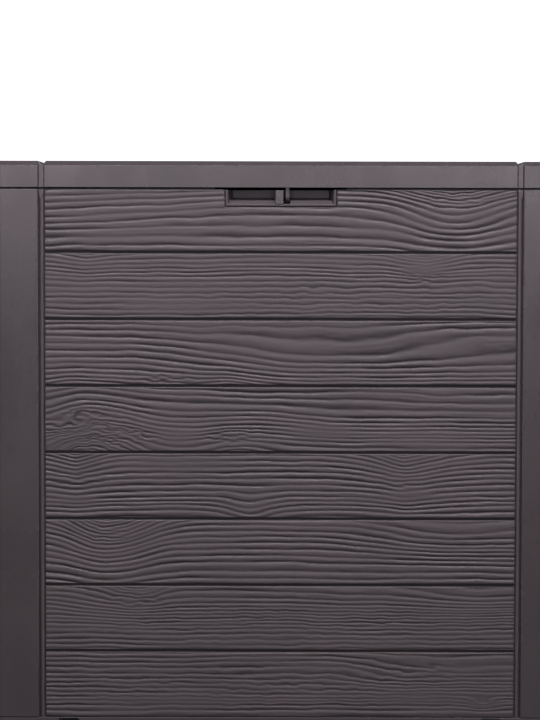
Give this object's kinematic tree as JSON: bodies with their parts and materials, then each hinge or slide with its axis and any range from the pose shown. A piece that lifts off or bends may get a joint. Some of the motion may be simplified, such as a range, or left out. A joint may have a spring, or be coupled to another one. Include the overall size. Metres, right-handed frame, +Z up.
{
  "type": "deck storage box",
  "caption": "Lidded resin storage box with wood-grain plank walls, smooth corner posts, a rear-hinged lid and a finger recess with padlock tabs.",
  "frame": {"origin": "centre of the bounding box's footprint, on the ground the box stands on", "axes": "-Y is the front with the finger recess, +X is the right side seen from the front, +Z up"},
  "size_m": [0.576, 0.44, 0.55],
  "materials": {
    "resin_plank": "matt embossed wood grain",
    "resin_smooth": "satin, fine moulded texture",
    "resin_inner": "satin",
    "resin_base": "matt",
    "steel": "zinc plated"
  },
  "bodies": {
    "box": {"front_panel": "resin_plank", "rear_panel": "resin_plank", "left_panel": "resin_plank", "right_panel": "resin_plank", "corner_post_front_left": "resin_smooth", "corner_post_front_right": "resin_smooth", "corner_post_rear_left": "resin_smooth", "corner_post_rear_right": "resin_smooth", "lock_eye_body": "resin_smooth", "handle_scoop": "resin_inner", "base_tray": "resin_base", "hinge_bracket_left": "resin_base", "hinge_bracket_right": "resin_base", "bracket_screw_left_inner": "steel", "bracket_screw_left_outer": "steel", "bracket_screw_right_inner": "steel", "bracket_screw_right_outer": "steel", "hinge_pin_left": "steel", "hinge_pin_right": "steel"},
    "lid": {"lid_shell": "resin_smooth", "lock_eye_lid": "resin_smooth", "lid_liner": "resin_inner", "hinge_leaf_left": "resin_base", "hinge_leaf_right": "resin_base", "leaf_screw_left_inner": "steel", "leaf_screw_left_outer": "steel", "leaf_screw_right_inner": "steel", "leaf_screw_right_outer": "steel"}
  },
  "joints": [
    {"name": "lid_hinge", "type": "hinge", "parent": "box", "child": "lid", "pos_m": [0, 0.2137, 0.5235], "axis": [-1, 0, 0], "range_deg": [0, 100]}
  ]
}
